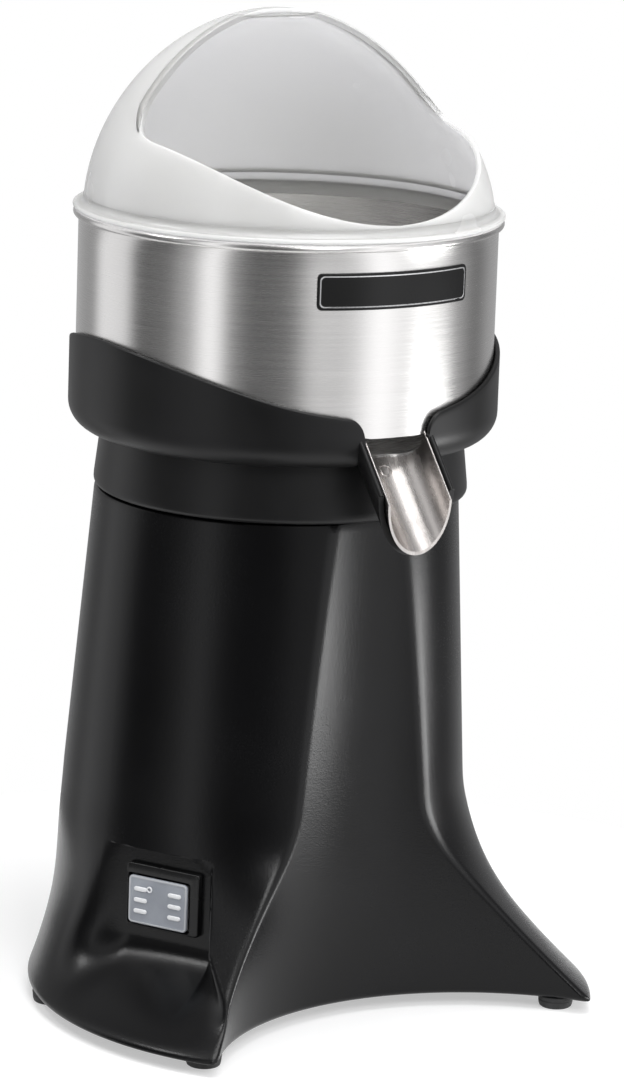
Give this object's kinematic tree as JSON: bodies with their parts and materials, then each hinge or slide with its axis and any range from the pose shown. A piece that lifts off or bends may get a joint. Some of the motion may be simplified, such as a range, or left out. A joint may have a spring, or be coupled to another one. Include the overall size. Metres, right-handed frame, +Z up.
{
  "type": "citrus juicer",
  "caption": "Electric citrus juicer: black cast pedestal with a hollowed front, stainless bowl with a half-round spout, fluted reamer on a strainer and a white domed splash guard.",
  "frame": {"origin": "at table height, under the middle of the overall box", "axes": "+Z up; the front, with the spout, faces -Y; the switch is on the -X side; the bowl and shaft share an upright axis 9.7 mm behind the origin"},
  "size_m": [0.2666, 0.2336, 0.4683],
  "materials": {
    "powder_coat": "satin black textured powder coat",
    "base_sheet": "semi-matt dark grey",
    "foot_rubber": "matt",
    "plated_steel": "zinc plated",
    "collar_moulding": "satin black",
    "tower_casting": "machined",
    "seal_rubber": "smooth",
    "motor_paint": "satin grey",
    "core_steel": "oiled laminations",
    "winding_copper": "varnished copper",
    "bell_casting": "as cast",
    "cushion_rubber": "matt",
    "bearing_steel": "ground and polished",
    "bezel_plastic": "semi-gloss black",
    "switch_plastic": "matt black",
    "can_aluminium": "drawn can",
    "terminal_plastic": "ivory",
    "gland_plastic": "matt black",
    "shaft_steel": "ground stainless",
    "rotor_steel": "turned laminations",
    "fan_plastic": "matt black",
    "bowl_steel": "brushed stainless",
    "spout_steel": "polished stainless",
    "nameplate_enamel": "semi-gloss black with a fine silver border",
    "strainer_steel": "pressed stainless",
    "reamer_plastic": "smooth white",
    "insert_metal": "machined",
    "guard_plastic": "glossy white, slightly translucent",
    "rocker_plastic": "light grey",
    "boot_rubber": "soft light grey cover"
  },
  "bodies": {
    "base": {"housing": "powder_coat", "base_plate": "base_sheet", "foot_front_left": "foot_rubber", "foot_front_right": "foot_rubber", "foot_side_left": "foot_rubber", "foot_side_right": "foot_rubber", "foot_rear_left": "foot_rubber", "foot_rear_right": "foot_rubber", "foot_screws": "plated_steel", "base_screws": "plated_steel", "collar": "collar_moulding", "collar_screws": "plated_steel", "drive_tower": "tower_casting", "shaft_seal": "seal_rubber", "motor_shell": "motor_paint", "stator_core": "core_steel", "stator_winding": "winding_copper", "upper_end_bell": "bell_casting", "lower_end_bell": "bell_casting", "motor_bolts": "plated_steel", "motor_cushions": "cushion_rubber", "upper_bearing_outer": "bearing_steel", "lower_bearing_outer": "bearing_steel", "switch_bezel": "bezel_plastic", "switch_body": "switch_plastic", "capacitor": "can_aluminium", "capacitor_clamp": "plated_steel", "terminal_block": "terminal_plastic", "cord_gland": "gland_plastic", "gland_nut": "gland_plastic"},
    "motor_rotor": {"drive_shaft": "shaft_steel", "rotor_core": "rotor_steel", "cooling_fan": "fan_plastic", "fan_clip": "plated_steel", "upper_bearing_inner": "bearing_steel", "lower_bearing_inner": "bearing_steel", "upper_bearing_balls": "bearing_steel", "lower_bearing_balls": "bearing_steel"},
    "bowl_unit": {"bowl": "bowl_steel", "spout": "spout_steel", "nameplate": "nameplate_enamel"},
    "strainer_disc": {"strainer": "strainer_steel"},
    "reamer_cone": {"reamer": "reamer_plastic", "reamer_insert": "insert_metal"},
    "guard": {"splash_guard": "guard_plastic"},
    "switch_rocker": {"rocker": "rocker_plastic", "switch_boot": "boot_rubber"}
  },
  "joints": [
    {"name": "rotor_spin", "type": "hinge", "parent": "base", "child": "motor_rotor", "pos_m": [0, 0.0097, 0.2], "axis": [0, 0, 1], "continuous": true},
    {"name": "bowl_lift", "type": "slide", "parent": "base", "child": "bowl_unit", "axis": [0, 0, 1], "range_m": [0, 0.1]},
    {"name": "strainer_lift", "type": "slide", "parent": "bowl_unit", "child": "strainer_disc", "axis": [0, 0, 1], "range_m": [0, 0.03]},
    {"name": "reamer_spin", "type": "hinge", "parent": "strainer_disc", "child": "reamer_cone", "pos_m": [0, 0.0097, 0.33], "axis": [0, 0, 1], "continuous": true},
    {"name": "guard_lift", "type": "slide", "parent": "bowl_unit", "child": "guard", "axis": [0, 0, 1], "range_m": [0, 0.12]},
    {"name": "rocker_tilt", "type": "hinge", "parent": "base", "child": "switch_rocker", "pos_m": [-0.08197, -0.03207, 0.0577], "axis": [0, 0, 1], "range_deg": [-6, 6]}
  ],
  "couplings": [
    {"joint": "reamer_spin", "follows": "rotor_spin", "ratio": 1}
  ]
}
